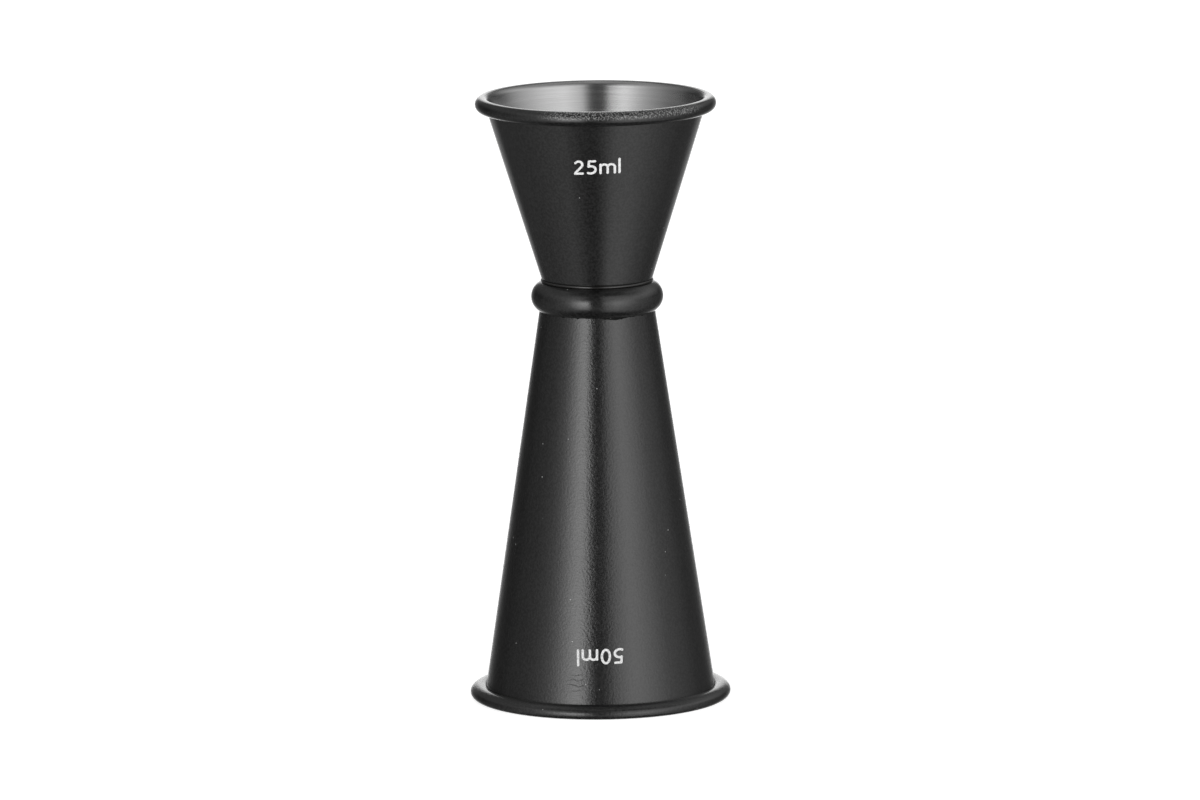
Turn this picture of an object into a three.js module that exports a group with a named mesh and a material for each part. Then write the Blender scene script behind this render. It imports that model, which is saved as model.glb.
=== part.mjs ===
// A double-ended bar jigger: a small and a large measuring cup of sheet steel, joined floor to floor,
// with a round ring over the joint. Millimetres, +Z up. It stands on the large cup's rim at z = 0.
import * as THREE from "three";

// Driving dimensions
const TOTAL_HEIGHT = 115.0;
const WAIST_HEIGHT = 76.9; // the ring's middle, above the rim that the jigger stands on
const SHEET = 1.0; // wall and floor of both cups
const BEAD_RADIUS = 1.4; // outside radius of the rolled rim's round section
const RIM_FLAT = 0.3; // the least width of the rim's flat land, at the very top of its roll
const TUCK_GAP = 0.15; // slit between the rolled-in edge of the sheet and the wall
const OUTER_CORNER = 0.5; // coined corner between floor and wall, outside
const INNER_CORNER = 0.8; // the same corner, inside

const SMALL_CUP = { floorRadius: 10.4, halfAngle: THREE.MathUtils.degToRad(17.4), rimRadius: 22.76 };
const LARGE_CUP = { floorRadius: 10.1, halfAngle: THREE.MathUtils.degToRad(8.5), rimRadius: 24.7 };

const RING_SECTION_RADIUS = 3.1; // the ring is full round outside
const RING_CENTRE_RADIUS = 9.4; // from the jigger's axis to the centre of the ring's round section

const BRAZE_THICKNESS = 0.1;
const BRAZE_RADIUS = 9.2;
const BOND_THICKNESS = 0.06;
const BOND_SQUEEZE_OUT = 0.15; // how far the adhesive shows below the ring
const FIT = 0.02; // clearance left on each face of the braze and the adhesive

const FACETS = 56; // round the axis
const CORNER_STEPS = 3;
const HOLLOW_STEPS = 3; // in each half of the roll's inside
const BEAD_STEPS = 6; // in each half of the roll's outside
const RING_STEPS = 14;

// Heights that follow from the driving dimensions
const SMALL_FLOOR_HEIGHT = WAIST_HEIGHT + RING_SECTION_RADIUS;
const LARGE_FLOOR_HEIGHT = SMALL_FLOOR_HEIGHT - BRAZE_THICKNESS - 2 * FIT;

const polar = (centre, radius, angle) =>
  new THREE.Vector2(centre.x + radius * Math.cos(angle), centre.y + radius * Math.sin(angle));

// Points on a circle from one angle to another, both ends included.
function arc(centre, radius, from, to, steps) {
  const points = [];
  for (let i = 0; i <= steps; i++) {
    points.push(polar(centre, radius, from + ((to - from) * i) / steps));
  }
  return points;
}

// Rounds the corner where a level floor meets a wall that leans out by halfAngle.
function floorCorner(corner, halfAngle, radius) {
  const wallFacing = -halfAngle; // direction that the wall's outside faces
  const setback = radius * Math.tan((Math.PI / 2 - halfAngle) / 2);
  const centre = new THREE.Vector2(corner.x - setback, corner.y + radius);
  return arc(centre, radius, -Math.PI / 2, wallFacing, CORNER_STEPS);
}

// A cup's section, mouth up, with the outside of its floor at y = 0: x is the radius, y the height.
// The sheet runs out along the floor, up the wall, and rolls outward over the rim into a hollow curl.
function cupSection({ floorRadius, halfAngle, rimRadius }, height) {
  const lean = Math.tan(halfAngle);
  const hollowRadius = BEAD_RADIUS - SHEET;
  const flatAngle = Math.asin(RIM_FLAT / 2 / BEAD_RADIUS);
  const rollHeight = height - BEAD_RADIUS * Math.cos(flatAngle);

  // The roll is two arcs with a level stretch between them: one tangent to the wall, one outermost.
  const wallRadius = floorRadius + rollHeight * lean;
  const wallRoll = new THREE.Vector2(wallRadius + hollowRadius / Math.cos(halfAngle), rollHeight);
  const outerRoll = new THREE.Vector2(rimRadius - BEAD_RADIUS, rollHeight);

  // The sheet's edge stops where its outer corner is TUCK_GAP from the wall.
  const rollToWall = hollowRadius + (outerRoll.x - wallRoll.x) * Math.cos(halfAngle);
  const edgeAngle = -Math.acos((TUCK_GAP - rollToWall) / BEAD_RADIUS) - halfAngle;

  const wallAngle = Math.PI - halfAngle;
  const top = Math.PI / 2;
  const floorInside = new THREE.Vector2(floorRadius + SHEET * lean - SHEET / Math.cos(halfAngle), SHEET);

  return [
    new THREE.Vector2(0, 0),
    ...floorCorner(new THREE.Vector2(floorRadius, 0), halfAngle, OUTER_CORNER),
    ...arc(wallRoll, hollowRadius, wallAngle, top, HOLLOW_STEPS),
    ...arc(outerRoll, hollowRadius, top, edgeAngle, 2 * HOLLOW_STEPS),
    ...arc(outerRoll, BEAD_RADIUS, edgeAngle, top - flatAngle, 2 * BEAD_STEPS),
    ...arc(wallRoll, BEAD_RADIUS, top + flatAngle, wallAngle, BEAD_STEPS),
    ...floorCorner(floorInside, halfAngle, INNER_CORNER).reverse(),
    new THREE.Vector2(0, SHEET),
  ];
}

// Outside radius of the large cup's cone at a height above the ring's middle.
function coneRadius(height) {
  const depth = LARGE_FLOOR_HEIGHT - (WAIST_HEIGHT + height);
  return LARGE_CUP.floorRadius + depth * Math.tan(LARGE_CUP.halfAngle);
}

// The ring's section about its middle: round outside, with a bore that follows the cone.
function ringSection() {
  const centre = new THREE.Vector2(RING_CENTRE_RADIUS, 0);
  const boreRadius = coneRadius(0) + BOND_THICKNESS + 2 * FIT;
  const reach = ((boreRadius - RING_CENTRE_RADIUS) * Math.cos(LARGE_CUP.halfAngle)) / RING_SECTION_RADIUS;
  const spread = Math.acos(reach);
  const lower = LARGE_CUP.halfAngle - spread;
  const upper = LARGE_CUP.halfAngle + spread;
  const outside = arc(centre, RING_SECTION_RADIUS, lower, upper, RING_STEPS);
  return [...outside, outside[0]];
}

// The adhesive between bore and cone, from just under the ring to its top.
function bondSection() {
  const bore = ringSection();
  const bottom = bore[0].y - BOND_SQUEEZE_OUT;
  const top = bore.at(-2).y;
  const inner = FIT;
  const outer = FIT + BOND_THICKNESS;
  const corners = [
    new THREE.Vector2(coneRadius(bottom) + inner, bottom),
    new THREE.Vector2(coneRadius(bottom) + outer, bottom),
    new THREE.Vector2(coneRadius(top) + outer, top),
    new THREE.Vector2(coneRadius(top) + inner, top),
  ];
  return [...corners, corners[0]];
}

function brazeSection() {
  return [
    new THREE.Vector2(0, 0),
    new THREE.Vector2(BRAZE_RADIUS, 0),
    new THREE.Vector2(BRAZE_RADIUS, BRAZE_THICKNESS),
    new THREE.Vector2(0, BRAZE_THICKNESS),
  ];
}

// Turns a section about the Z axis into a named mesh, at a height on that axis.
function turned(name, section, height, material) {
  const geometry = new THREE.LatheGeometry(section, FACETS).rotateX(Math.PI / 2);
  const mesh = new THREE.Mesh(geometry, material);
  mesh.name = name;
  mesh.position.z = height;
  return mesh;
}

function blackCoat() {
  return new THREE.MeshStandardMaterial({ color: 0x202021, roughness: 0.45, metalness: 0.4 });
}

function smallCup() {
  const height = TOTAL_HEIGHT - SMALL_FLOOR_HEIGHT;
  return turned("small_cup", cupSection(SMALL_CUP, height), SMALL_FLOOR_HEIGHT, blackCoat());
}

function largeCup() {
  const section = cupSection(LARGE_CUP, LARGE_FLOOR_HEIGHT);
  const cup = turned("large_cup", section, LARGE_FLOOR_HEIGHT, blackCoat());
  cup.rotation.x = Math.PI; // mouth down
  return cup;
}

function waistRing() {
  return turned("waist_ring", ringSection(), WAIST_HEIGHT, blackCoat());
}

function ringBond() {
  const adhesive = new THREE.MeshStandardMaterial({ color: 0x141312, roughness: 0.7, metalness: 0 });
  return turned("ring_bond", bondSection(), WAIST_HEIGHT, adhesive);
}

function floorBraze() {
  const filler = new THREE.MeshStandardMaterial({ color: 0xc9b277, roughness: 0.4, metalness: 1 });
  return turned("floor_braze", brazeSection(), LARGE_FLOOR_HEIGHT + FIT, filler);
}

const jigger = new THREE.Group();
jigger.add(smallCup(), largeCup(), waistRing(), ringBond(), floorBraze());

export default jigger;
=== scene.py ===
"""The looks of a double-ended bar jigger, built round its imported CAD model. Metres, in the CAD's frame."""

import math

import bmesh
import bpy
from mathutils import Matrix, Vector, noise
from mathutils.geometry import delaunay_2d_cdt


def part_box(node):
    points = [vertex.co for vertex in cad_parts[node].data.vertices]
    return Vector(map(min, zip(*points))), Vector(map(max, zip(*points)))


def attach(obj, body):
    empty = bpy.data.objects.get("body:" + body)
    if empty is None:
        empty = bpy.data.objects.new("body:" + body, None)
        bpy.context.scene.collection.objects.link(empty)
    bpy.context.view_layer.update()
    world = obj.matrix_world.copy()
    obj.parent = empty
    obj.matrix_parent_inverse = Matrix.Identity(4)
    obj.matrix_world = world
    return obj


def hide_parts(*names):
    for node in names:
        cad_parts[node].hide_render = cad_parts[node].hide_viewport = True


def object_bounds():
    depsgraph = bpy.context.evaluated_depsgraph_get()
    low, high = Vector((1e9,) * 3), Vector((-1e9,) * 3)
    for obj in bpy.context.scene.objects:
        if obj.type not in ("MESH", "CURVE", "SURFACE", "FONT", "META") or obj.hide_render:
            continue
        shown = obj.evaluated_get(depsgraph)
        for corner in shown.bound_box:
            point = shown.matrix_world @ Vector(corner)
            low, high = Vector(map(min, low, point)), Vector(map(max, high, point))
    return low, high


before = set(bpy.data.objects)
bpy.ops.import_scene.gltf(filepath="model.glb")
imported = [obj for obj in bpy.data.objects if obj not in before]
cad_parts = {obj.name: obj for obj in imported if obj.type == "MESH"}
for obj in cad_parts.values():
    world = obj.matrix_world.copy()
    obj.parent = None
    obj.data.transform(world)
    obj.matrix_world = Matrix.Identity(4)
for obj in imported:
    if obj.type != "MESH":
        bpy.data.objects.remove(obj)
cad_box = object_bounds()

MM = 0.001
SEGMENTS = 240  # round the axis, in every turned piece
SHARP = math.radians(32)  # edges that turn by more than this stay crisp

# Both cups. The small cup's outer corner is wider than in the CAD.
SHEET = 1.0 * MM
BEAD = 1.4 * MM  # outside radius of the rolled rim's round section
RIM_FLAT = 0.3 * MM
TUCK_GAP = 0.15 * MM
SMALL_OUTER_CORNER = 0.9 * MM  # between floor and wall
LARGE_OUTER_CORNER = 0.5 * MM
INNER_CORNER = 0.8 * MM
SMALL_HALF_ANGLE = math.radians(17.4)
LARGE_HALF_ANGLE = math.radians(8.5)
SMALL_FLOOR_RADIUS = 10.4 * MM
LARGE_FLOOR_RADIUS = 10.1 * MM

# The large cup's bead, which isn't the CAD's circle: a tight tuck at the wall, a flattened stretch and a
# round nose. Each is an arc.
TUCK = 0.25 * MM
FLATTENED = 2.4 * MM
NOSE = 1.1 * MM
FLATTENED_FROM = math.radians(-43)  # the flattened stretch faces these two ways at its ends
FLATTENED_TO = math.radians(-108)

# Steps along the arcs of the sections
CORNER_STEPS = 10
ROLL_STEPS = 8  # where the sheet starts to roll
CURL_STEPS = 16  # inside the bead
BEAD_STEPS = 40  # outside it
FLATTENED_STEPS = 24
COAT_STEPS = 16  # from the bead's top to the end of the coat
RING_STEPS = 72
BOND_STEPS = 16

# The waist ring, round outside
RING_SECTION = 3.1 * MM
RING_CENTRE = 9.4 * MM
RING_BORE_GAP = 0.1 * MM  # from the cone to the bore

# The fine bead of adhesive over the ring
BOND_BEAD = 0.26 * MM
BOND_BEAD_UP = 0.06 * MM  # its centre, above the small cup's floor
BOND_BEAD_FROM = math.radians(-110)
BOND_BEAD_TO = math.radians(125)
BOND_ROOT = 0.5 * MM  # how far it reaches in under the small cup
BOND_ROOT_LOW = -0.12 * MM  # its root's lower and upper edge, above the small cup's floor
BOND_ROOT_HIGH = 0.04 * MM

# The ragged film of adhesive under the ring
FILM = 0.09 * MM  # its thickness under the ring
FILM_EDGE = 0.05 * MM  # and at its lower edge
FILM_BEVEL = 0.02 * MM
FILM_HIDDEN = 0.3 * MM  # how far it goes up into the bore
FILM_SHOWS = 0.03 * MM  # how far it shows below the ring all round
FILM_PATCH = 0.4 * MM  # what is added to that at its widest patch
FILM_LUMPS = 0.35 * MM  # and what is added at random
FILM_PATCH_AT = math.radians(288)  # the patch is to the right of the front
FILM_PATCH_REACH = math.radians(16)

# Heights, from the frame
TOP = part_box("small_cup")[1].z
SMALL_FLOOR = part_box("small_cup")[0].z
LARGE_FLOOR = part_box("large_cup")[1].z
SMALL_RIM_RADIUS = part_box("small_cup")[1].x
LARGE_RIM_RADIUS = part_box("large_cup")[1].x
WAIST = SMALL_FLOOR - RING_SECTION

# The black coat
COAT = 0.03 * MM
COAT_OVERLAP = 0.01 * MM  # how far its underside is sunk in the steel
COAT_END = math.radians(23.5)  # it stops this far over the rim, on the way in
FINE_GRAIN = 0.26 * MM
COARSE_GRAIN = 0.44 * MM
GRAIN_DEPTH = 0.02 * MM
TURNING_LINES = 0.16 * MM
TURNING_LENGTH = 9 * MM
DUST_SPACING = 2.6 * MM  # of the cells that may hold a speck
CLOUDS = 7 * MM  # in its roughness

# Where its grain is coarser, with pale glints of light painted on it
SMALL_GRAIN_AND_GLINT_SPOT = (7 * MM, -SMALL_RIM_RADIUS, TOP)
LARGE_GRAIN_AND_GLINT_SPOT = (-4 * MM, -LARGE_RIM_RADIUS, cad_box[0].z)
FAR_BELOW = (0.0, 0.0, -TOP)  # a spot that nothing is near
GRAIN_AND_GLINT_REACH = 13 * MM
GRAIN_AND_GLINT_FADED = 19 * MM
GRAIN_AND_GLINT_EDGE = 0.7 * MM  # it fades out over this height
LINES_DEEP = 4.0 * MM  # the turning lines are deepest this close to the rim
LINES_FADED = 12.0 * MM
SCRATCHED_PATCH = (-4.6 * MM, -20.6 * MM, 6.6 * MM)
SCRATCH_CURVE = 6 * MM  # radius of the scratches at the middle of the patch
SCRATCH_SPACING = 0.95 * MM
SCRATCH_WAVER = 1.6 * MM
SCRATCHED_REACH = 1.2 * MM
SCRATCHED_FADED = 2.3 * MM

# The capacity marks
MARK_HEIGHT = 2.94 * MM
MARK_WIDEN = 1.05
MARK_PROUD = 0.008 * MM  # how far they stand out of the coat
MARK_DEPTH = 0.02 * MM  # and how far they go into it
SMALL_MARK_BASE = 102.65 * MM  # height of the feet of the characters
LARGE_MARK_BASE = 12.85 * MM
SMALL_MARK_TURN = math.radians(0.8)
MARK_TILT = math.radians(1.4)  # both are printed slightly askew, higher on the right

# The camera
LENS = 330.0  # this and the sensor are in millimetres
SENSOR = 36.0
DISTANCE = 2.0803
LOOK_DOWN = math.radians(9.643)
ROLL = math.radians(-0.506)
AIM = Vector((0.36 * MM, 0.0, 56.9 * MM))

# The floor
FLOOR_REACH = 6.0
FLOOR_GAP = 0.02 * MM  # keeps the rim just clear of it


# ---------------------------------------------------------------- outlines

def arc(centre, radius, start, end, steps, hollow=False):
    """Stations on a circle: points, each with the direction that the surface faces there."""
    stations = []
    for i in range(steps + 1):
        angle = start + (end - start) * i / steps
        out = Vector((math.cos(angle), math.sin(angle)))
        stations.append((centre + radius * out, -out if hollow else out))
    return stations


def floor_corner(corner, half_angle, radius, hollow=False):
    """The round corner between a level floor and a wall that leans out."""
    setback = radius * math.tan((math.pi / 2 - half_angle) / 2)
    centre = Vector((corner.x - setback, corner.y + radius))
    return arc(centre, radius, -math.pi / 2, -half_angle, CORNER_STEPS, hollow)


def flattened_bead(rim_radius, height, flat_angle, edge_angle):
    """The outside of the large cup's rolled rim: three arcs that run into each other."""
    nose = Vector((rim_radius - NOSE, height - NOSE * math.cos(flat_angle)))
    ways = [Vector((math.cos(angle), math.sin(angle))) for angle in (FLATTENED_FROM, FLATTENED_TO)]
    flattened = nose + (NOSE - FLATTENED) * ways[0]
    tuck = flattened + (FLATTENED - TUCK) * ways[1]
    return [
        *arc(tuck, TUCK, edge_angle, FLATTENED_TO, ROLL_STEPS),
        *arc(flattened, FLATTENED, FLATTENED_TO, FLATTENED_FROM, FLATTENED_STEPS)[1:],
        *arc(nose, NOSE, FLATTENED_FROM, math.pi / 2 - flat_angle, FLATTENED_STEPS)[1:],
    ]


def cup_stations(floor_radius, half_angle, rim_radius, height, outer_corner, flattened):
    """A cup's section, mouth up, with the outside of its floor at 0: its coated and its bare stretch."""
    lean = math.tan(half_angle)
    inside = BEAD - SHEET
    flat_angle = math.asin(RIM_FLAT / 2 / BEAD)
    roll_height = height - BEAD * math.cos(flat_angle)
    wall_radius = floor_radius + roll_height * lean
    wall_roll = Vector((wall_radius + inside / math.cos(half_angle), roll_height))
    outer_roll = Vector((rim_radius - BEAD, roll_height))

    roll_to_wall = inside + (outer_roll.x - wall_roll.x) * math.cos(half_angle)
    edge_angle = -math.acos((TUCK_GAP - roll_to_wall) / BEAD) - half_angle
    edge_faces = Vector((math.sin(edge_angle), -math.cos(edge_angle)))

    wall_angle = math.pi - half_angle
    top = math.pi / 2
    curl = arc(outer_roll, inside, top, edge_angle, CURL_STEPS, hollow=True)
    bead = arc(outer_roll, BEAD, edge_angle, top - flat_angle, BEAD_STEPS)
    if flattened:
        bead = flattened_bead(rim_radius, height, flat_angle, edge_angle)
    for stretch, end in ((curl, -1), (bead, 0)):  # the sheet's edge faces both ways at its corners
        point, out = stretch[end]
        stretch[end] = (point, (out + edge_faces).normalized())

    coated = [
        *floor_corner(Vector((floor_radius, 0)), half_angle, outer_corner),
        *arc(wall_roll, inside, wall_angle, top, ROLL_STEPS, hollow=True),
        *curl,
        *bead,
        *arc(wall_roll, BEAD, top + flat_angle, top + COAT_END, COAT_STEPS),
    ]
    floor_inside = Vector((floor_radius + SHEET * lean - SHEET / math.cos(half_angle), SHEET))
    bare = [
        *arc(wall_roll, BEAD, top + COAT_END, wall_angle, ROLL_STEPS)[1:],
        *reversed(floor_corner(floor_inside, half_angle, INNER_CORNER, hollow=True)),
    ]
    return coated, bare


def offset(stations, distance):
    """The stations' points, each moved out by a distance."""
    return [point + distance * out for point, out in stations]


def small_cone_radius(height):
    """Outside radius of the small cup's cone at a height."""
    return SMALL_FLOOR_RADIUS + (height - SMALL_FLOOR) * math.tan(SMALL_HALF_ANGLE)


def large_cone_radius(height):
    """Outside radius of the large cup's cone at a height."""
    return LARGE_FLOOR_RADIUS + (LARGE_FLOOR - height) * math.tan(LARGE_HALF_ANGLE)


def ring_outline():
    """The waist ring's section: round outside, with a bore that follows the cone."""
    centre = Vector((RING_CENTRE, WAIST))
    bore = large_cone_radius(WAIST) + RING_BORE_GAP
    spread = math.acos((bore - RING_CENTRE) * math.cos(LARGE_HALF_ANGLE) / RING_SECTION)
    low, high = LARGE_HALF_ANGLE - spread, LARGE_HALF_ANGLE + spread
    return offset(arc(centre, RING_SECTION, low, high, RING_STEPS), 0)


# ---------------------------------------------------------------- meshes

def new_piece(name, bm, material, replaced=()):
    """Makes a piece of the finished mesh and fixes it to the CAD body."""
    bmesh.ops.recalc_face_normals(bm, faces=bm.faces)
    mesh = bpy.data.meshes.new(name)
    bm.to_mesh(mesh)
    bm.free()
    mesh.shade_smooth()
    mesh.set_sharp_from_angle(angle=SHARP)
    mesh.materials.append(material)
    piece = bpy.data.objects.new(name, mesh)
    bpy.context.scene.collection.objects.link(piece)
    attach(piece, "root")
    for node in replaced:
        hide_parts(node)
    return piece


def turned(outline_at, closed=True, segments=SEGMENTS):
    """Turns an outline of (radius, height) points about Z. It is given for each angle."""
    bm = bmesh.new()
    rows = []
    for step in range(segments):
        angle = 2 * math.pi * step / segments
        along = Vector((math.cos(angle), math.sin(angle)))
        rows.append([bm.verts.new((x * along.x, x * along.y, z)) for x, z in outline_at(angle)])
    count = len(rows[0])
    for row, following in zip(rows, rows[1:] + rows[:1]):
        for i in range(count if closed else count - 1):
            j = (i + 1) % count
            bm.faces.new((row[i], row[j], following[j], following[i]))
    bmesh.ops.remove_doubles(bm, verts=bm.verts, dist=1e-7)
    return bm


def placed(outline, floor, mouth_down):
    """Moves a cup's outline from its own floor to its height on the axis."""
    sign = -1 if mouth_down else 1
    return [Vector((point.x, floor + sign * point.y)) for point in outline]


def cup(node, stations, floor, mouth_down, coat):
    """A cup of bare steel and the coat over its outside and its rim."""
    coated, bare = stations
    sheet = offset(coated + bare, -COAT)
    sheet = [Vector((0, sheet[0].y)), *sheet, Vector((0, sheet[-1].y))]
    body = placed(sheet, floor, mouth_down)
    new_piece(f"{node}_body", turned(lambda angle: body, closed=False), steel, [node])
    skin = offset(coated, 0) + offset(coated, -COAT - COAT_OVERLAP)[::-1]
    skin = placed(skin, floor, mouth_down)
    new_piece(f"{node}_coat", turned(lambda angle: skin), coat, [node])


def waist_ring(coat):
    outline = ring_outline()
    new_piece("waist_ring_body", turned(lambda angle: outline), coat, ["waist_ring"])


def squeezed_bead():
    """The fine bead of adhesive in the crease between the small cup and the ring."""
    centre = Vector((SMALL_FLOOR_RADIUS, SMALL_FLOOR + BOND_BEAD_UP))
    round_part = offset(arc(centre, BOND_BEAD, BOND_BEAD_FROM, BOND_BEAD_TO, BOND_STEPS), 0)
    root = SMALL_FLOOR_RADIUS - BOND_ROOT
    low, high = SMALL_FLOOR + BOND_ROOT_LOW, SMALL_FLOOR + BOND_ROOT_HIGH
    outline = [Vector((root, low)), *round_part, Vector((root, high))]
    return turned(lambda angle: outline)


def ragged_film():
    """The film of adhesive under the ring, with a ragged lower edge."""
    bottom = ring_outline()[0].y
    hidden = bottom + FILM_HIDDEN

    def outline_at(angle):
        place = Vector((math.cos(angle), math.sin(angle), 0))
        patch = max(0.0, 1 - abs(angle - FILM_PATCH_AT) / FILM_PATCH_REACH)
        lumps = 0.5 * noise.noise(place * 11) + 0.5 * noise.noise(place * 31 + Vector((7, 3, 1)))
        low = bottom - FILM_SHOWS - FILM_PATCH * patch - FILM_LUMPS * max(0.0, lumps)
        return [
            Vector((large_cone_radius(hidden), hidden)),
            Vector((large_cone_radius(low), low)),
            Vector((large_cone_radius(low) + FILM_EDGE, low + FILM_BEVEL)),
            Vector((large_cone_radius(bottom) + FILM, bottom)),
            Vector((large_cone_radius(hidden) + FILM, hidden)),
        ]

    return turned(outline_at, segments=3 * SEGMENTS)


# ---------------------------------------------------------------- capacity marks

def bow(x, y, radius_x, radius_y, start, end):
    """Points along part of an ellipse, by angle in degrees."""
    steps = max(4, round(abs(end - start) / 9))
    angles = [math.radians(start + (end - start) * i / steps) for i in range(steps + 1)]
    return [Vector((x + radius_x * math.cos(a), y + radius_y * math.sin(a))) for a in angles]


def line(*points):
    """Points along straight runs, close enough together to bend round a cone."""
    found = [Vector(points[0])]
    for start, end in zip(points, points[1:]):
        steps = max(1, round((Vector(end) - Vector(start)).length / 0.08))
        found += [Vector(start).lerp(Vector(end), i / steps) for i in range(1, steps + 1)]
    return found


PEN = 0.074  # half the width of a stroke, in parts of the digits' height
CHARACTERS = {  # centre lines of the strokes, and the character's width
    "2": ([bow(0.29, 0.7, 0.225, 0.225, 150, -32) + line((0.42, 0.5), (0.1, 0.13)),
           line((0.075, 0.075), (0.545, 0.075))], 0.62),
    "5": ([line((0.53, 0.925), (0.16, 0.925)), line((0.16, 0.925), (0.14, 0.55)),
           bow(0.26, 0.33, 0.3, 0.255, 116, -122)], 0.64),
    "0": ([bow(0.32, 0.5, 0.245, 0.425, -6, 186), bow(0.32, 0.5, 0.245, 0.425, 174, 366)], 0.64),
    "m": ([line((0.075, 0.075), (0.075, 0.67)),
           bow(0.293, 0.48, 0.218, 0.195, 160, 0) + line((0.511, 0.42), (0.511, 0.075)),
           bow(0.729, 0.48, 0.218, 0.195, 160, 0) + line((0.947, 0.42), (0.947, 0.075))], 1.02),
    "l": ([line((0.075, 0.075), (0.075, 1.02))], 0.15),
}
LETTER_GAP = 0.145


def stroke_outline(centre_line):
    """The edge of a pen stroke with round ends."""
    count = len(centre_line)
    left, right = [], []
    for i, point in enumerate(centre_line):
        ahead = centre_line[min(i + 1, count - 1)] - centre_line[max(i - 1, 0)]
        side = Vector((-ahead.y, ahead.x)).normalized() * PEN
        left.append(point + side)
        right.append(point - side)

    def cap(centre, start):
        first = math.atan2(start.y - centre.y, start.x - centre.x)
        turns = [first - math.pi * i / 10 for i in range(1, 10)]
        return [centre + PEN * Vector((math.cos(a), math.sin(a))) for a in turns]

    return left + cap(centre_line[-1], left[-1]) + right[::-1] + cap(centre_line[0], right[0])


def joined_strokes(strokes):
    """Triangles that cover every stroke once: the points, and three indices for each triangle."""
    points, outlines = [], []
    for stroke in strokes:
        outline = stroke_outline(stroke)[::-1]
        outlines.append(list(range(len(points), len(points) + len(outline))))
        points += outline
    made = delaunay_2d_cdt(points, [], outlines, 0, 1e-5)
    return made[0], [face for face, inside in zip(made[2], made[5]) if inside]


def capacity_mark(name, text, base, turn, half_angle, radius_at, upside_down):
    """Characters wrapped on a cone's front, facing -Y. base is the height of their feet."""
    width = sum(CHARACTERS[c][1] for c in text) + LETTER_GAP * (len(text) - 1)
    rise = -math.cos(half_angle) if upside_down else math.cos(half_angle)
    across = -1 if upside_down else 1
    faces_down = math.sin(half_angle) * (-1 if radius_at(base + MM) > radius_at(base) else 1)
    bm = bmesh.new()
    start = -width / 2
    for c in text:
        strokes, advance = CHARACTERS[c]
        points, triangles = joined_strokes(strokes)
        layers = []
        for lift in (MARK_PROUD, -MARK_DEPTH):
            layer = []
            for point in points:
                x, y = (start + point.x) * MARK_WIDEN, point.y
                height = base + MARK_HEIGHT * (y * rise + x * across * math.tan(MARK_TILT))
                radius = radius_at(height)
                azimuth = turn + across * x * MARK_HEIGHT / radius
                radius += lift * math.cos(half_angle)
                height += lift * faces_down
                layer.append(bm.verts.new((radius * math.sin(azimuth), -radius * math.cos(azimuth), height)))
            layers.append(layer)
        proud, sunk = layers
        for a, b, d in triangles:
            bm.faces.new((proud[a], proud[b], proud[d]))
            bm.faces.new((sunk[d], sunk[b], sunk[a]))
        edges = [edge for a, b, d in triangles for edge in ((a, b), (b, d), (d, a))]
        both_ways = set(edges)
        for a, b in edges:
            if (b, a) not in both_ways:  # an outer edge, which gets a wall
                bm.faces.new((proud[b], proud[a], sunk[a], sunk[b]))
        start += advance + LETTER_GAP
    loose = [v for v in bm.verts if not v.link_faces]
    bmesh.ops.delete(bm, geom=loose, context="VERTS")
    return new_piece(name, bm, mark)


# ---------------------------------------------------------------- shader nodes

def add(tree, kind, inputs=None, **settings):
    """Adds a node. An input is given a value, or is linked if it is given a socket."""
    node = tree.nodes.new(kind)
    for key, value in settings.items():
        setattr(node, key, value)
    for key, value in (inputs or {}).items():
        if isinstance(value, bpy.types.NodeSocket):
            tree.links.new(value, node.inputs[key])
        else:
            node.inputs[key].default_value = value
    return node


def calc(tree, operation, a, b=0.0, c=0.0):
    return add(tree, "ShaderNodeMath", {0: a, 1: b, 2: c}, operation=operation).outputs[0]


def ramp(tree, value, low, high, to_low=0.0, to_high=1.0):
    inputs = {"Value": value, "From Min": low, "From Max": high, "To Min": to_low, "To Max": to_high}
    return add(tree, "ShaderNodeMapRange", inputs, interpolation_type="SMOOTHSTEP").outputs[0]


def grey(level):
    return (level, level, level, 1)


def blended(tree, share, low, high):
    """A colour between low and high. Each of them is a colour or a socket."""
    return add(tree, "ShaderNodeMix", {0: share, 6: low, 7: high}, data_type="RGBA").outputs[2]


def away_from(tree, position, spot):
    """Distance from a spot."""
    return add(tree, "ShaderNodeVectorMath", {0: position, 1: spot}, operation="DISTANCE").outputs["Value"]


def grain(tree, vector, size, detail=2.0, roughness=0.5):
    """Noise from 0 to 1 with features of about that size, in metres."""
    inputs = {"Vector": vector, "Scale": 1 / size, "Detail": detail, "Roughness": roughness}
    return add(tree, "ShaderNodeTexNoise", inputs).outputs["Fac"]


def stretched(tree, position, across, along):
    """Coordinates for marks that run round the axis: across is their width, along their length."""
    parts = add(tree, "ShaderNodeSeparateXYZ", {0: position}).outputs
    radius = add(tree, "ShaderNodeVectorMath", {0: position, 1: (1, 1, 0)}, operation="MULTIPLY").outputs[0]
    radius = add(tree, "ShaderNodeVectorMath", {0: radius}, operation="LENGTH").outputs["Value"]
    depth = calc(tree, "MULTIPLY", calc(tree, "ADD", parts["Z"], radius), 1 / across)
    inputs = {
        "X": calc(tree, "MULTIPLY", parts["X"], 1 / along),
        "Y": calc(tree, "MULTIPLY", parts["Y"], 1 / along),
        "Z": depth,
    }
    return add(tree, "ShaderNodeCombineXYZ", inputs).outputs[0]


def new_material(name):
    """An empty node material, with its shader and its coordinates."""
    material = bpy.data.materials.new(name)
    material.use_nodes = True
    tree = material.node_tree
    shader = tree.nodes["Principled BSDF"]
    position = tree.nodes.new("ShaderNodeTexCoord").outputs["Object"]
    return material, tree, shader, position


def bump(tree, height, depth):
    return add(tree, "ShaderNodeBump", {"Height": height, "Distance": depth}).outputs[0]


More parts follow.
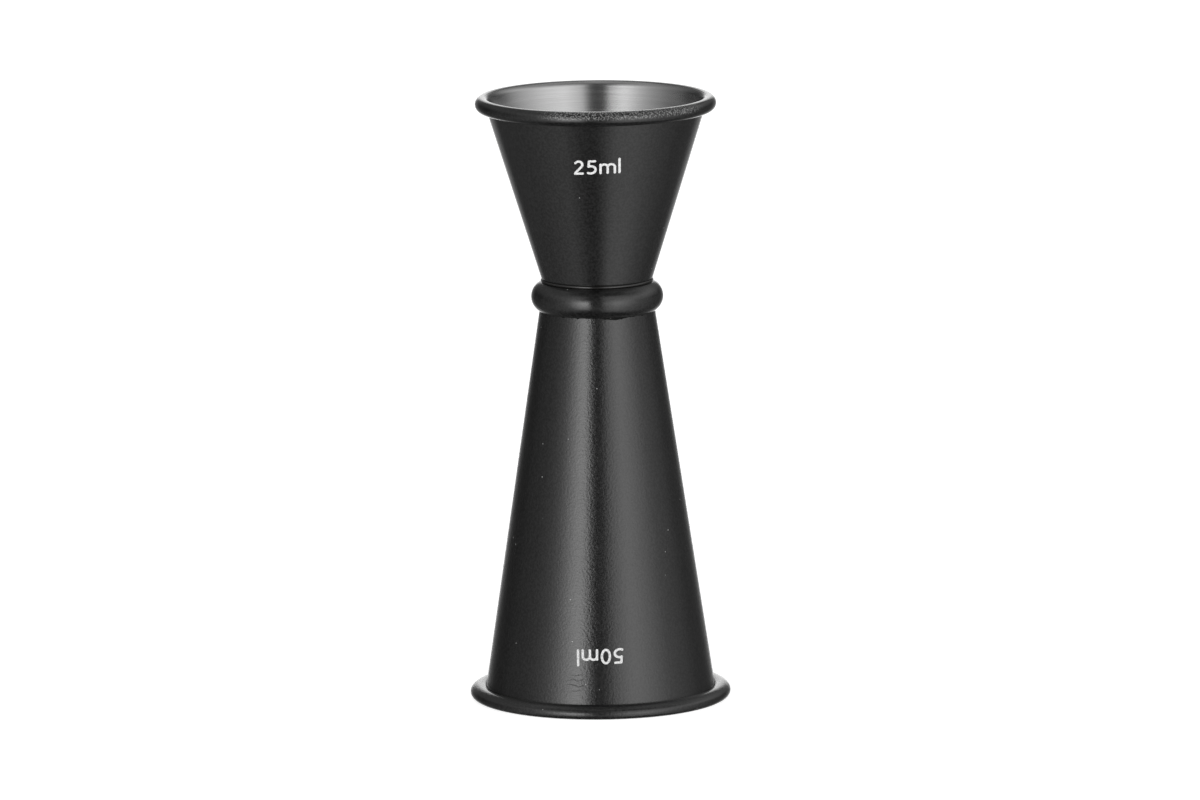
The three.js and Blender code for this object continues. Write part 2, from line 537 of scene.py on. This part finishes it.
def glossy_over_satin(tree, shader, normal):
    """Half of the shine is sharp and half is broad, as on a thin lacquer over a blasted surface."""
    tree.links.new(normal, shader.inputs["Normal"])
    tree.links.new(normal, shader.inputs["Coat Normal"])
    shader.inputs["Coat Weight"].default_value = 1.0
    shader.inputs["Coat Roughness"].default_value = 0.1
    shader.inputs["Coat IOR"].default_value = 1.5
    shader.inputs["IOR"].default_value = 1.3


def scratches(tree, position, patch):
    """A patch of fine curved scratches, one under the other: 1 on a scratch and 0 off it."""
    above = (patch[0], patch[1], patch[2] + SCRATCH_CURVE)
    rings = calc(tree, "MULTIPLY", away_from(tree, position, above), 1 / SCRATCH_SPACING)
    waver = grain(tree, position, SCRATCH_WAVER, 1.0)
    turns = calc(tree, "FRACT", calc(tree, "ADD", rings, waver))
    lines = ramp(tree, calc(tree, "ABSOLUTE", calc(tree, "SUBTRACT", turns, 0.5)), 0.0, 0.11, 1.0, 0.0)
    away = away_from(tree, position, patch)
    return calc(tree, "MULTIPLY", lines, ramp(tree, away, SCRATCHED_REACH, SCRATCHED_FADED, 1.0, 0.0))


def black_coat(name, relief, grain_and_glint_spot, grain_and_glint_depth, grain_and_glint_amount, scratched=None):
    """Black, slightly grained, with faint turning lines and a few specks of dust. Its grain is coarser round
    a spot on the rim, down to grain_and_glint_depth, with pale glints of light painted on it there. Relief is
    the depth of the coarse grain."""
    material, tree, shader, position = new_material(name)
    z = add(tree, "ShaderNodeSeparateXYZ", {0: position}).outputs["Z"]
    from_rim = calc(tree, "ABSOLUTE", calc(tree, "SUBTRACT", z, grain_and_glint_spot[2]))
    # The spot where the grain is coarser and pale glints of light are painted on it
    beside = ramp(tree, away_from(tree, position, grain_and_glint_spot), GRAIN_AND_GLINT_REACH, GRAIN_AND_GLINT_FADED, 1.0, 0.0)
    over = ramp(tree, from_rim, grain_and_glint_depth, grain_and_glint_depth + GRAIN_AND_GLINT_EDGE, 1.0, 0.0)
    grain_and_glint = calc(tree, "MULTIPLY", beside, over)

    fine = grain(tree, position, FINE_GRAIN, 2.0, 0.6)
    coarse = grain(tree, position, COARSE_GRAIN, 3.0, 0.65)
    lines = grain(tree, stretched(tree, position, TURNING_LINES, TURNING_LENGTH), 1.0, 2.0)
    height = calc(tree, "MULTIPLY_ADD", fine, 0.25, calc(tree, "MULTIPLY", coarse, relief))
    height = calc(tree, "MULTIPLY_ADD", coarse, calc(tree, "MULTIPLY", grain_and_glint, grain_and_glint_amount), height)
    line_depth = ramp(tree, from_rim, LINES_DEEP, LINES_FADED, 0.16, 0.035)
    height = calc(tree, "MULTIPLY_ADD", lines, line_depth, height)
    if scratched:
        height = calc(tree, "SUBTRACT", height, scratches(tree, position, scratched))
    glossy_over_satin(tree, shader, bump(tree, height, GRAIN_DEPTH))

    clouds = grain(tree, position, CLOUDS, 3.0)
    rough = calc(tree, "MULTIPLY_ADD", grain_and_glint, 0.05 * grain_and_glint_amount, ramp(tree, clouds, 0.3, 0.7, 0.3, 0.34))
    tree.links.new(rough, shader.inputs["Roughness"])

    cells = add(tree, "ShaderNodeTexVoronoi", {"Vector": position, "Scale": 1 / DUST_SPACING})
    speck = ramp(tree, cells.outputs["Distance"], 0.035, 0.055, 1.0, 0.0)
    chosen = add(tree, "ShaderNodeSeparateColor", {0: cells.outputs["Color"]}).outputs[0]
    dust = calc(tree, "MULTIPLY", speck, calc(tree, "GREATER_THAN", chosen, 0.75))
    # Pale specks painted on the coarse grain as glints of light
    painted_glint = calc(tree, "MULTIPLY", ramp(tree, fine, 0.5, 0.6), calc(tree, "MULTIPLY", grain_and_glint, grain_and_glint_amount / 4))
    colour = blended(tree, ramp(tree, coarse, 0.38, 0.62), grey(0.003), grey(0.011))
    colour = blended(tree, painted_glint, colour, grey(0.3))
    colour = blended(tree, dust, colour, grey(0.3))
    tree.links.new(colour, shader.inputs["Base Color"])
    return material


def brushed_steel():
    """Bare steel, brushed round the axis."""
    material, tree, shader, position = new_material("brushed_steel")
    streaks = grain(tree, stretched(tree, position, 0.12 * MM, 14 * MM), 1.0, 4.0, 0.65)
    broad = grain(tree, stretched(tree, position, 0.9 * MM, 20 * MM), 1.0, 2.0)
    tint = calc(tree, "MULTIPLY_ADD", streaks, 0.55, calc(tree, "MULTIPLY", broad, 0.45))
    colour = blended(tree, ramp(tree, tint, 0.3, 0.7), grey(0.395), grey(0.485))
    tree.links.new(colour, shader.inputs["Base Color"])
    tree.links.new(ramp(tree, broad, 0.3, 0.7, 0.22, 0.27), shader.inputs["Roughness"])
    tree.links.new(bump(tree, streaks, 0.004 * MM), shader.inputs["Normal"])
    tangent = add(tree, "ShaderNodeTangent", direction_type="RADIAL", axis="Z").outputs[0]
    tree.links.new(tangent, shader.inputs["Tangent"])
    shader.inputs["Metallic"].default_value = 1.0
    shader.inputs["Anisotropic"].default_value = 0.8
    shader.inputs["Anisotropic Rotation"].default_value = 0.25
    return material


def laser_mark():
    """Pale, matte and slightly mottled, as a laser leaves steel."""
    material, tree, shader, position = new_material("laser_mark")
    mottle = grain(tree, position, 0.22 * MM, 3.0, 0.6)
    colour = blended(tree, ramp(tree, mottle, 0.3, 0.6), grey(0.46), grey(0.8))
    tree.links.new(colour, shader.inputs["Base Color"])
    tree.links.new(bump(tree, mottle, 0.004 * MM), shader.inputs["Normal"])
    shader.inputs["Roughness"].default_value = 0.62
    return material


def adhesive():
    """Black adhesive, uneven where it has squeezed out."""
    material, tree, shader, position = new_material("adhesive")
    lumps = grain(tree, position, 0.5 * MM, 3.0, 0.6)
    tree.links.new(ramp(tree, lumps, 0.3, 0.7, 0.28, 0.34), shader.inputs["Roughness"])
    colour = blended(tree, lumps, grey(0.004), (0.014, 0.013, 0.012, 1))
    tree.links.new(colour, shader.inputs["Base Color"])
    glossy_over_satin(tree, shader, bump(tree, lumps, 0.01 * MM))
    return material


def dull_residue():
    """Adhesive that has dried on the cone: matte and blacker than the coat."""
    material, tree, shader, position = new_material("dull_residue")
    lumps = grain(tree, position, 0.4 * MM, 3.0, 0.6)
    tree.links.new(blended(tree, lumps, grey(0.002), grey(0.008)), shader.inputs["Base Color"])
    tree.links.new(ramp(tree, lumps, 0.3, 0.7, 0.55, 0.75), shader.inputs["Roughness"])
    tree.links.new(bump(tree, lumps, 0.02 * MM), shader.inputs["Normal"])
    shader.inputs["IOR"].default_value = 1.2
    return material


def braze_filler():
    """The brass-coloured filler that has flowed between the two floors."""
    material, tree, shader, position = new_material("braze_filler")
    flow = grain(tree, position, 2.2 * MM, 4.0, 0.6)
    colour = blended(tree, flow, (0.62, 0.47, 0.2, 1), (0.8, 0.68, 0.4, 1))
    tree.links.new(colour, shader.inputs["Base Color"])
    tree.links.new(ramp(tree, flow, 0.3, 0.7, 0.25, 0.45), shader.inputs["Roughness"])
    tree.links.new(bump(tree, flow, 0.05 * MM), shader.inputs["Normal"])
    shader.inputs["Metallic"].default_value = 1.0
    return material


# ---------------------------------------------------------------- studio

BRIGHTEST = 4.5
BACK = 175  # the white backdrop starts this many degrees from the front, on both sides
SIDE = 166  # and here it has faded out

# Rows by elevation in degrees. Each has the brightness of the backdrop, and of the panels by azimuth:
# 0 is the front and the right is positive.
STUDIO = (
    (-62, 0.15, (
        (-SIDE, 0.05), (-40, 0.05), (0, 0.03), (40, 0.08), (SIDE, 0.05))),
    (-44, 0.8, (
        (-SIDE, 0.1), (-101, 0.16), (-45, 0.5), (-20, 0.17), (-8, 0.12), (3, 0.18), (27, 1.02),
        (51, 0.9), (94, 0.32), (112, 0.12), (SIDE, 0.1))),
    (-28, 1.6, (
        (-SIDE, 0.5), (-156, 0.35), (-143, 0.06), (-104, 0.18), (-69, 0.4), (-48, 0.8), (-33, 2.0),
        (-17, 2.0), (-9, 0.25), (6, 0.25), (16, 0.95), (35, 1.5), (54, 1.0), (76, 0.5), (117, 0.13),
        (143, 0.08), (156, 0.35), (SIDE, 0.5))),
    (8, 1.2, (
        (-SIDE, 0.15), (-147, 0.04), (-123, 0.03), (-104, 0.14), (-82, 0.25), (-69, 0.42), (-57, 0.68),
        (-48, 1.25), (-36, 2.8), (-27, 4.3), (-17, 4.5), (-11, 0.04), (-2, 0.0), (4, 0.08), (9, 0.55),
        (16, 1.45), (35, 2.4), (54, 1.6), (76, 0.7), (117, 0.13), (147, 0.05), (SIDE, 0.15))),
    (30, 1.2, (
        (-SIDE, 0.08), (-128, 0.22), (-95, 0.4), (-69, 0.66), (-45, 1.1), (-34, 1.15), (-25, 0.4),
        (-16, 0.14), (-13, 0.13), (3, 0.12), (8, 0.17), (16, 0.95), (37, 1.3), (58, 1.3), (82, 1.15),
        (110, 0.9), (128, 0.6), (SIDE, 0.08))),
    (50, 1.0, (
        (-SIDE, 0.15), (-100, 0.35), (-45, 0.65), (-30, 0.6), (-20, 0.3), (-13, 0.1), (6, 0.11),
        (16, 0.9), (39, 0.95), (80, 0.45), (128, 0.4), (SIDE, 0.15))),
    (62, 0.6, (
        (-SIDE, 0.4), (-110, 0.5), (-40, 0.1), (0, 0.04), (30, 0.12), (60, 0.12), (110, 0.5), (SIDE, 0.4))),
    (84, 0.45, (
        (-90, 0.4), (90, 0.4))),
)


def studio_light():
    """The studio as a surrounding of soft panels, with a plain white ground for the camera."""
    world = bpy.data.worlds.new("studio")
    bpy.context.scene.world = world
    world.use_nodes = True
    tree = world.node_tree
    tree.nodes.clear()
    direction = tree.nodes.new("ShaderNodeTexCoord").outputs["Generated"]
    parts = add(tree, "ShaderNodeSeparateXYZ", {0: direction}).outputs
    azimuth = calc(tree, "ARCTAN2", parts["X"], calc(tree, "MULTIPLY", parts["Y"], -1.0))
    turn = calc(tree, "MULTIPLY_ADD", azimuth, 1 / (2 * math.pi), 0.5)
    elevation = calc(tree, "MULTIPLY", calc(tree, "ARCSINE", parts["Z"]), 180 / math.pi)

    colour = below = None
    for height, backdrop, panels in STUDIO:
        stops = ((-BACK, backdrop), *panels, (BACK, backdrop))
        band = tree.nodes.new("ShaderNodeValToRGB")
        tree.links.new(turn, band.inputs[0])
        while len(band.color_ramp.elements) < len(stops):
            band.color_ramp.elements.new(0.5)
        for element, stop in zip(band.color_ramp.elements, stops):
            element.position = stop[0] / 360 + 0.5
        for element, stop in zip(band.color_ramp.elements, stops):
            element.color = grey(stop[1] / BRIGHTEST)
        if colour is None:
            colour = band.outputs[0]
        else:
            inputs = {"Value": elevation, "From Min": below, "From Max": height}
            share = add(tree, "ShaderNodeMapRange", inputs).outputs[0]
            colour = blended(tree, share, colour, band.outputs[0])
        below = height

    lit = add(tree, "ShaderNodeBackground", {"Color": colour, "Strength": BRIGHTEST}).outputs[0]
    ground = add(tree, "ShaderNodeBackground", {"Color": grey(1), "Strength": 1.0}).outputs[0]
    seen = add(tree, "ShaderNodeLightPath").outputs["Is Camera Ray"]
    mixed = add(tree, "ShaderNodeMixShader", {0: seen, 1: lit, 2: ground}).outputs[0]
    add(tree, "ShaderNodeOutputWorld", {"Surface": mixed})


def pale_floor():
    """A wide plain floor, bright enough to look white."""
    bm = bmesh.new()
    bmesh.ops.create_grid(bm, x_segments=1, y_segments=1, size=FLOOR_REACH)
    mesh = bpy.data.meshes.new("floor")
    bm.to_mesh(mesh)
    bm.free()
    floor = bpy.data.objects.new("floor", mesh)
    bpy.context.scene.collection.objects.link(floor)
    floor.location.z = cad_box[0].z - FLOOR_GAP
    floor.visible_glossy = False  # so the coat shows the studio and not the floor
    material, _, shader, _ = new_material("floor")
    shader.inputs["Base Color"].default_value = grey(0.8)
    shader.inputs["Roughness"].default_value = 1.0
    shader.inputs["Specular IOR Level"].default_value = 0.0
    shader.inputs["Emission Color"].default_value = grey(1)
    shader.inputs["Emission Strength"].default_value = 0.8
    mesh.materials.append(material)


def camera():
    """A long lens, a little above the jigger and slightly turned in its plane."""
    data = bpy.data.cameras.new("camera")
    data.lens = LENS
    data.sensor_width = SENSOR
    data.clip_start = 0.1
    data.clip_end = 100
    viewer = bpy.data.objects.new("camera", data)
    ahead = Vector((0, math.cos(LOOK_DOWN), -math.sin(LOOK_DOWN)))
    turned_to = ahead.to_track_quat("-Z", "Y").to_matrix().to_4x4() @ Matrix.Rotation(ROLL, 4, "Z")
    viewer.matrix_world = Matrix.Translation(AIM - DISTANCE * ahead) @ turned_to
    bpy.context.scene.collection.objects.link(viewer)
    bpy.context.scene.camera = viewer
    bpy.context.scene.view_settings.view_transform = "Standard"


# ---------------------------------------------------------------- the jigger

steel = brushed_steel()
mark = laser_mark()
ring_black = black_coat("ring_coat", 0.8, FAR_BELOW, grain_and_glint_depth=0.0, grain_and_glint_amount=0.0)
# Round a spot on each rim the grain is coarser, with painted glints of light on it
small_black = black_coat("small_cup_coat", 0.65, SMALL_GRAIN_AND_GLINT_SPOT, grain_and_glint_depth=1.0 * MM, grain_and_glint_amount=2.8)
large_black = black_coat(
    "large_cup_coat", 2.0, LARGE_GRAIN_AND_GLINT_SPOT, grain_and_glint_depth=2.4 * MM, grain_and_glint_amount=0.12, scratched=SCRATCHED_PATCH)

small_stations = cup_stations(
    SMALL_FLOOR_RADIUS, SMALL_HALF_ANGLE, SMALL_RIM_RADIUS, TOP - SMALL_FLOOR, SMALL_OUTER_CORNER, False)
large_stations = cup_stations(
    LARGE_FLOOR_RADIUS, LARGE_HALF_ANGLE, LARGE_RIM_RADIUS, LARGE_FLOOR, LARGE_OUTER_CORNER, True)
cup("small_cup", small_stations, SMALL_FLOOR, False, small_black)
cup("large_cup", large_stations, LARGE_FLOOR, True, large_black)
waist_ring(ring_black)
new_piece("bond_bead", squeezed_bead(), adhesive(), ["ring_bond"])
new_piece("bond_residue", ragged_film(), dull_residue(), ["ring_bond"])
capacity_mark("mark_25", "25ml", SMALL_MARK_BASE, SMALL_MARK_TURN, SMALL_HALF_ANGLE, small_cone_radius, False)
capacity_mark("mark_50", "50ml", LARGE_MARK_BASE, 0.0, LARGE_HALF_ANGLE, large_cone_radius, True)

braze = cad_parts["floor_braze"]
braze.data.materials.clear()
braze.data.materials.append(braze_filler())

pale_floor()
studio_light()
camera()
